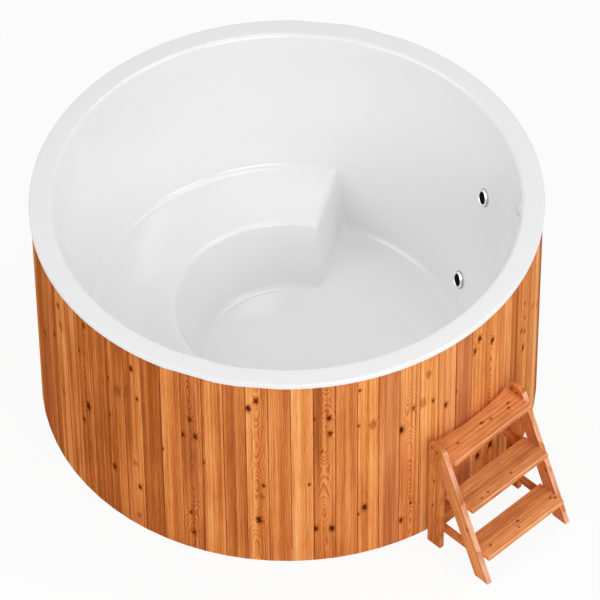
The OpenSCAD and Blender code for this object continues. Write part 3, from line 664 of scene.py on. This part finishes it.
def timber(bm, outline, low, high, place, along, edge, look, knots=(), front=None, worn=None):
    """Adds a piece of timber to bm: an outline in its own XY, drawn out along its Z from low to
    high, with rounded edges. along is the run of the grain. front picks edges that get a larger
    radius, as (test, radius). The last argument gives a point's distance behind the front edge,
    along which a pale painted highlight is laid."""
    before = set(bm.verts)
    face = bm.faces.new([bm.verts.new((x, y, low)) for x, y in outline])
    drawn = bmesh.ops.extrude_face_region(bm, geom=[face])
    bmesh.ops.translate(
        bm, vec=(0, 0, high - low), verts=[g for g in drawn["geom"] if isinstance(g, bmesh.types.BMVert)]
    )
    mine = [v for v in bm.verts if v not in before]
    faces = list({f for v in mine for f in v.link_faces})
    bmesh.ops.recalc_face_normals(bm, faces=faces)
    edges = list({e for v in mine for e in v.link_edges if e.calc_face_angle(0) > math.radians(25)})
    groups = [(edges, edge)]
    if front:
        test, radius = front
        chosen = [e for e in edges if test(*(v.co for v in e.verts))]
        groups = [(chosen, radius), ([e for e in edges if e not in chosen], edge)]
    for chosen, radius in groups:
        chosen = [e for e in chosen if e.is_valid]
        if chosen and radius:
            bmesh.ops.bevel(
                bm, geom=chosen, offset=radius, segments=3 if radius < 0.004 else 6,
                profile=0.5, affect="EDGES", material=-1, clamp_overlap=True,
            )
    mine = [v for v in bm.verts if v not in before]
    grain = bm.verts.layers.float_vector["grain"]
    tone = bm.verts.layers.float_vector["look"]
    edge_highlight = bm.verts.layers.float_vector["worn"]
    run = Vector(along).normalized()
    deep = Vector((0, 0, 1)) if abs(run.z) < 0.5 else Vector((0, 1, 0))
    across = run.cross(deep)
    shift = random.random() * 40
    spots = [bm.verts.layers.float_vector[f"knot_{n}"] for n in range(1, KNOTS + 1)]
    for vert in mine:
        vert[grain] = (vert.co.dot(across), vert.co.dot(run) + shift, vert.co.dot(deep))
        vert[tone] = look
        vert[edge_highlight] = (worn(vert.co) if worn else 1.0, 0, 0)
        for spot, knot in zip(spots, list(knots) + [(0, 0, 0)] * KNOTS):
            vert[spot] = (knot[0], knot[1] + shift, knot[2])
    bmesh.ops.transform(bm, matrix=place, verts=mine)


def timber_mesh():
    bm = bmesh.new()
    for name in ["grain", "look", "worn"] + [f"knot_{n}" for n in range(1, KNOTS + 1)]:
        bm.verts.layers.float_vector.new(name)
    return bm


def make_timber(name, bm, body, *stands_for, holes=()):
    piece = make_piece(name, bm, body, *stands_for)
    if holes:
        cut(piece, holes)
        regrain(piece.data)
    smooth(piece.data, 60)
    weigh = piece.modifiers.new("flat faces", "WEIGHTED_NORMAL")
    weigh.keep_sharp = True
    return piece


# Boards: tone, figure (0 straight grain, 1 flame grain), pinkness, and knots as
# millimetres from the board's middle, height in metres and radius in millimetres
# (below 0 for a pale knot)
BOARD_LOOKS = {
    -24: (0.30, 0.3, 0.1, [(-20, 0.58, 9)]),
    -23: (0.34, 0.3, 0.1, [(15, 0.69, 8)]),
    -22: (0.62, 0.2, 0.0, [(-17, 0.90, 8), (0, 0.80, -11), (-9, 0.42, -7)]),
    -21: (0.54, 0.1, 0.0, []),
    -20: (0.35, 1.0, 0.0, [(5, 0.505, 13), (-28, 0.40, 8), (-38, 0.785, 7), (2, 0.954, 8)]),
    -19: (0.40, 0.0, 0.0, []),
    -18: (0.33, 0.4, 0.0, [(-24, 0.27, 10), (9, 0.73, -12), (-40, 0.56, 6), (-38, 0.77, 5)]),
    -17: (0.46, 0.5, 0.0, [(-3, 0.90, 9), (-36, 0.753, -12), (19, 0.745, 6), (-2, 0.367, -7),
                           (16, 0.24, 8), (7, 0.07, -7)]),
    -16: (0.31, 0.0, 0.0, []),
    -15: (0.53, 0.0, 0.0, [(-41, 0.527, 5)]),
    -14: (0.36, 1.0, 0.1, [(-7, 0.748, 8), (-38, 0.652, 9), (14, 0.66, 9), (-14, 0.215, 7),
                           (-3, 0.10, 8)]),
    -13: (0.58, 0.1, 0.0, [(-42, 0.526, 6)]),
    -12: (0.42, 0.0, 0.1, []),
    -11: (0.58, 1.0, 0.0, [(-31, 0.873, 10), (-2, 0.92, 9), (22, 0.444, 6), (16, 0.38, -6),
                           (3, 0.244, 11)]),
    -10: (0.52, 0.0, 0.1, []),
    -9: (0.74, 0.0, 0.0, [(26, 0.45, 5)]),
    -8: (0.44, 1.0, 0.1, [(-38, 0.82, 6), (18, 0.818, 9), (21, 0.727, 8), (-10, 0.633, 4),
                          (-38, 0.193, 10), (28, 0.183, 10)]),
    -7: (0.54, 0.1, 0.1, []),
    -6: (0.66, 0.2, 0.0, [(-35, 0.94, 5), (-41, 0.745, 5), (17, 0.732, -10), (-14, 0.27, 10),
                          (-40, 0.24, 5)]),
    -5: (0.52, 0.0, 0.4, []),
    -4: (0.70, 1.0, 0.2, [(-36, 0.65, 11), (16, 0.748, 6), (9, 0.21, 5), (-33, 0.13, 8)]),
    -3: (0.72, 0.3, 0.0, [(-5, 0.90, -8), (-29, 0.756, -11), (19, 0.74, 6)]),
    -2: (0.80, 0.2, 0.3, [(-5, 0.676, 8)]),
    -1: (0.44, 0.0, 0.5, [(-41, 0.715, 5)]),
    0: (0.74, 0.9, 0.1, [(-3, 0.92, 9), (-29, 0.87, 8), (2, 0.25, 12)]),
    1: (0.70, 0.9, 0.0, [(-9, 0.845, 10), (-3, 0.25, 12)]),
    2: (0.68, 0.1, 0.1, []),
    3: (0.43, 0.0, 0.1, []),
    4: (0.65, 0.2, 0.1, [(-31, 0.687, 7), (-10, 0.57, 10), (2, 0.65, 7), (0, 0.73, 5),
                         (-3, 0.81, 5)]),
    5: (0.64, 0.1, 0.1, [(10, 0.70, -8)]),
    6: (0.83, 0.3, 0.0, [(12, 0.62, 6)]),
}


def board_look(index):
    """The look of a board: listed where the photo shows it, and drawn by lot elsewhere."""
    chosen = BOARD_LOOKS.get(index if index < 40 else index - BOARDS)
    if chosen:
        return chosen
    knotty = random.random() < 0.5
    tone = random.choice((0.30, 0.42, 0.50, 0.58, 0.66))
    knots = [
        (random.uniform(-34, 34), random.uniform(0.06, 0.94), random.choice((5, 7, 9, 11, -8)))
        for _ in range(random.randint(2, 5) if knotty else 0)
    ]
    return tone, float(knotty) * random.uniform(0.6, 1.0), random.choice((0.0, 0.0, 0.3)), knots


def through(angle, z):
    """Level through the boards, with +Z out of the tub."""
    turn = Matrix.Rotation(math.radians(angle), 4, "Z") @ Matrix.Rotation(math.radians(90), 4, "X")
    return Matrix.Translation(around(angle, BOARD_R, z)) @ turn


def board_number(co):
    return int((math.degrees(math.atan2(co.x, -co.y)) % 360 - SEAM_AT) // BOARD_STEP)


def regrain(mesh):
    """Gives the points round a fresh hole the grain and the look of their board."""
    bm = bmesh.new()
    bm.from_mesh(mesh)
    layers = bm.verts.layers.float_vector
    grain, look = layers["grain"], layers["look"]
    known = {board_number(v.co): v for v in bm.verts if v[look].length > 0}
    for vert in bm.verts:
        if vert[look].length > 0:
            continue
        number = board_number(vert.co)
        near = known[number]
        for layer in layers.values():
            vert[layer] = near[layer]
        turn = Matrix.Rotation(-math.radians(SEAM_AT + (number + 0.5) * BOARD_STEP), 3, "Z")
        away = turn @ (vert.co - near.co)
        vert[grain] = near[grain] + Vector((-away.x, away.z, away.y))
    bm.to_mesh(mesh)
    bm.free()


def make_boards():
    half = BOARD_STEP / 2
    back_r = BOARD_R - BOARD_T
    out, inner = BOARD_R * tan(half) - SEAM / 2, back_r * tan(half) - SEAM / 2
    outline = [(-out, -BOARD_R), (out, -BOARD_R), (inner, -back_r), (-inner, -back_r)]
    random.seed(4)
    for panel in range(12):
        bm = timber_mesh()
        for index in range(panel * BOARDS // 12, (panel + 1) * BOARDS // 12):
            tone, figure, pink, knots = board_look(index)
            turn = SEAM_AT + (index + 0.5) * BOARD_STEP
            timber(
                bm, outline, BOARD_FOOT, BOARD_TOP, Matrix.Rotation(math.radians(turn), 4, "Z"),
                (0, 0, 1), 0.0, (tone, figure, pink),
                [(-x / 1000, z, r / 1000) for x, z, r in knots],
                (lambda a, b: a.y < -BOARD_R + 0.001 and b.y < -BOARD_R + 0.001, 0.0022),
            )
        number = panel + 1
        holes = []
        if number in (3, 4):
            holes = [disc(through(90, DRAIN_Z), DRAIN_WAY_R, -0.04, 0.02)]
        if number == 3:
            holes += [disc(through(PORT_AT, z), PIPE_WAY_R, -0.04, 0.02) for z in PIPE_HEIGHTS]
        make_timber(f"boards_{number:02d}", bm, "tub", f"cladding_{number:02d}", holes=holes)


make_boards()


# Ladder: u runs out from the tub along -Y, and the sides stand in the plane of u and height

(post_low, post_high), (foot_low, foot_high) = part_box("left_post"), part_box("left_stringer")
LADDER_LEAN = 24.6
LADDER_W = 0.460
SIDE_T = 0.022
POST_U, POST_W = -post_high.y, post_high.y - post_low.y
FOOT_U, LADDER_H = -foot_low.y, post_high.z
STRINGER_W = 0.063
RAIL_T, RAIL_W, RAIL_BACK = 0.022, 0.028, 0.024
SIDE_EDGE, TREAD_EDGE, NOSE_R = 0.0022, 0.002, 0.0048
HAIR = 0.0002


def upright(side):
    """Stands XY on end: X goes out from the tub, Y up and Z along +X from the given place."""
    return Matrix(((0, 0, 1, side), (-1, 0, 0, 0), (0, 1, 0, 0), (0, 0, 0, 1)))


def front_u(z):
    return FOOT_U - z * tan(LADDER_LEAN)


def make_sides():
    round_r = 0.045
    cut = round_r * tan((90 - LADDER_LEAN) / 2)
    top = arc((front_u(LADDER_H) - cut, LADDER_H - round_r), round_r, LADDER_LEAN, 90, 9)
    wide = STRINGER_W / cos(LADDER_LEAN)
    seam_u = POST_U + POST_W
    seam_z = (FOOT_U - wide - seam_u) / tan(LADDER_LEAN)
    post_top = [point for point in top if point[0] < seam_u]
    at_seam = [point for point in top if point[0] > seam_u]
    z_seam = at_seam[-1][1] + 0.0005
    post = [(POST_U, 0), (seam_u, 0), (seam_u, z_seam)] + post_top
    post += [(POST_U + 0.008, LADDER_H), (POST_U, LADDER_H - 0.008)]
    stringer = [(FOOT_U - wide, 0), (FOOT_U, 0)] + at_seam
    stringer += [(seam_u + 0.0002, z_seam), (seam_u + 0.0002, seam_z)]
    lean = (-sin(LADDER_LEAN), cos(LADDER_LEAN), 0)
    for side, v in (("left", -LADDER_W / 2), ("right", LADDER_W / 2 - SIDE_T)):
        bm = timber_mesh()
        timber(bm, post, 0, SIDE_T, upright(v), (0, 1, 0), SIDE_EDGE, (0.38, 0.25, 0.1),
               [(1.022, 0.545, 0.004), (1.049, 0.538, 0.004), (1.036, 0.366, 0.004), (1.033, 0.224, 0.004)])
        make_timber(f"{side}_ladder_post", bm, "ladder", f"{side}_post")
        bm = timber_mesh()
        # The stringer's front edge gets a pale painted highlight
        timber(bm, stringer, 0, SIDE_T, upright(v), lean, SIDE_EDGE, (0.45, 0.2, 0.35),
               [(1.22, 0.10, 0.004), (1.20, -0.3, 0.004)],
               worn=lambda co: (front_u(co.y) - co.x) * 2 + 0.002)
        make_timber(f"{side}_ladder_stringer", bm, "ladder", f"{side}_stringer")


def make_tread(name, node, tone, knots, hollow=None):
    """A tread with a round nose; hollow is the radius of the rear edge about the tub's axis."""
    low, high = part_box(node)
    half = high.x
    nose, rear = -low.y, -high.y
    outline = [(-half, -nose), (half, -nose)]
    if hollow:
        spread = math.degrees(math.asin(half / hollow))
        outline += [tuple(around(spread - 2 * spread * i / 16, hollow).xy) for i in range(17)]
    else:
        outline += [(half, -rear), (-half, -rear)]
    bm = timber_mesh()
    timber(
        # The nose gets a pale painted highlight, with a darker line behind it
        bm, outline, low.z, high.z, Matrix.Identity(4), (1, 0, 0), TREAD_EDGE, (tone, 0.9, 0.35),
        knots, (lambda a, b: a.y < -nose + 0.001 and b.y < -nose + 0.001 and a.z == b.z, NOSE_R),
        worn=lambda co: co.y + nose,
    )
    make_timber(name, bm, "ladder", node)


def make_rails():
    bm = timber_mesh()
    low_z = [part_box(node)[0].z - HAIR for node in ("bottom_tread", "middle_tread", "top_tread")]
    for number, top in enumerate(low_z):
        foot = top - RAIL_W
        outline = [(POST_U, foot), (front_u(foot) - RAIL_BACK, foot)]
        outline += [(front_u(top) - RAIL_BACK, top), (POST_U, top)]
        for v in (-LADDER_W / 2 + SIDE_T + HAIR, LADDER_W / 2 - SIDE_T - RAIL_T - HAIR):
            look = (0.38 + 0.03 * number, 0.2, 0.2)
            timber(bm, outline, 0, RAIL_T, upright(v), (1, 0, 0), TREAD_EDGE, look)
    make_timber("ladder_rails", bm, "ladder", "tread_rails")


def make_cross_bar():
    low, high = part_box("rear_cross_bar")
    outline = [(low.x, low.y), (high.x, low.y), (high.x, high.y), (low.x, high.y)]
    bm = timber_mesh()
    timber(bm, outline, low.z, high.z, Matrix.Identity(4), (1, 0, 0), TREAD_EDGE, (0.42, 0.2, 0.2))
    make_timber("ladder_cross_bar", bm, "ladder", "rear_cross_bar")


make_sides()
make_tread("bottom_step", "bottom_tread", 0.50, [
    (1.271, 0.179, 0.004), (1.284, 0.193, 0.004), (1.265, 0.005, 0.004), (1.289, -0.014, 0.003),
    (1.277, -0.158, 0.004)])
make_tread("middle_step", "middle_tread", 0.50, [
    (1.194, 0.033, 0.0035), (1.200, -0.100, 0.0035), (1.205, -0.139, 0.003)])
make_tread("top_step", "top_tread", 0.46, [
    (1.057, 0.152, 0.004), (1.075, 0.134, 0.0045), (1.058, 0.007, 0.005), (1.066, -0.133, 0.004),
    (1.068, 0.046, 0.0035)], 1.014)
make_rails()
make_cross_bar()


# Stage: a white floor that keeps the shadow, soft lamps and the photo's camera


def seen_directly(paint):
    """1 for the rays that show the background: from the camera, off gloss and through glass."""
    path = paint.tree.nodes.new("ShaderNodeLightPath")
    rays = [Value(paint, path.outputs[name])
            for name in ("Is Camera Ray", "Is Glossy Ray", "Is Transmission Ray")]
    return rays[0].maths("MAXIMUM", rays[1]).maths("MAXIMUM", rays[2])


def make_floor():
    bm = bmesh.new()
    bmesh.ops.create_grid(bm, x_segments=1, y_segments=1, size=40)
    mesh = bpy.data.meshes.new("floor")
    bm.to_mesh(mesh)
    bm.free()
    floor = bpy.data.objects.new("floor", mesh)
    bpy.context.collection.objects.link(floor)
    paint = Paint("white_floor")
    paint.finish(Base_Color=(0.86, 0.86, 0.87), Roughness=0.9)
    glow = paint.node("ShaderNodeEmission", None, {"Color": (1.0, 1.0, 1.0), "Strength": 1.0})
    share = seen_directly(paint) * 0.92
    mix = paint.node(
        "ShaderNodeMixShader", None,
        {0: share, 1: Value(paint, paint.shader.outputs[0]), 2: glow},
    )
    paint.put(paint.tree.nodes["Material Output"].inputs["Surface"], mix)
    mesh.materials.append(paint.material)


def make_world(ambient):
    world = bpy.data.worlds.new("studio")
    bpy.context.scene.world = world
    world.use_nodes = True
    paint = Paint.__new__(Paint)
    paint.tree = world.node_tree
    background = paint.tree.nodes["Background"]
    background.inputs["Strength"].default_value = 1.0
    colour = paint.blend(seen_directly(paint), (ambient, ambient, ambient * 1.02), (1.0, 1.0, 1.0))
    paint.put(background.inputs["Color"], colour)


def softbox(name, angle, elevation, distance, size, power, colour=(1.0, 1.0, 1.0)):
    """A square lamp aimed at the tub, at an angle counted from the photo's camera."""
    lamp = bpy.data.lights.new(name, "AREA")
    lamp.shape, lamp.size, lamp.size_y = "RECTANGLE", size[0], size[1]
    lamp.energy, lamp.color = power, colour
    holder = bpy.data.objects.new(name, lamp)
    bpy.context.collection.objects.link(holder)
    aim = Vector((0, 0, 0.5))
    holder.location = aim + around(angle + PHOTO_VIEW, distance * cos(elevation), distance * sin(elevation))
    holder.rotation_euler = (aim - holder.location).to_track_quat("-Z", "Y").to_euler()


def make_camera():
    """The photo's camera, fitted to the rim, the lip and the foot of the boards."""
    yaw, pitch, roll = 0.0035, 0.8085, -0.0103
    away, up = 13.377, 14.4425
    turn = Matrix.Rotation(math.radians(PHOTO_VIEW), 3, "Z")
    ahead = Vector((math.sin(yaw) * math.cos(pitch), math.cos(yaw) * math.cos(pitch), -math.sin(pitch)))
    right = ahead.cross(Vector((0, 0, 1))).normalized()
    top = right.cross(ahead)
    c, s = math.cos(roll), math.sin(roll)
    right, top = c * right + s * top, c * top - s * right
    axes = Matrix((turn @ right, turn @ top, turn @ -ahead)).transposed()
    lens = bpy.data.cameras.new("camera")
    lens.sensor_width, lens.lens = 36.0, 293.56
    lens.clip_end = 200.0
    camera = bpy.data.objects.new("camera", lens)
    bpy.context.collection.objects.link(camera)
    camera.matrix_world = Matrix.Translation(around(PHOTO_VIEW, away, up)) @ axes.to_4x4()
    bpy.context.scene.camera = camera


make_floor()
make_world(0.45)
softbox("key", 66, 40, 7.0, (2.4, 2.4), 52)
softbox("fill", 18, 26, 8.0, (5.0, 3.0), 188)
softbox("over", 125, 70, 6.5, (1.0, 3.6), 54)
softbox("left", -72, 40, 8.0, (6.0, 4.0), 124)
make_camera()
bpy.context.scene.view_settings.view_transform = "Standard"
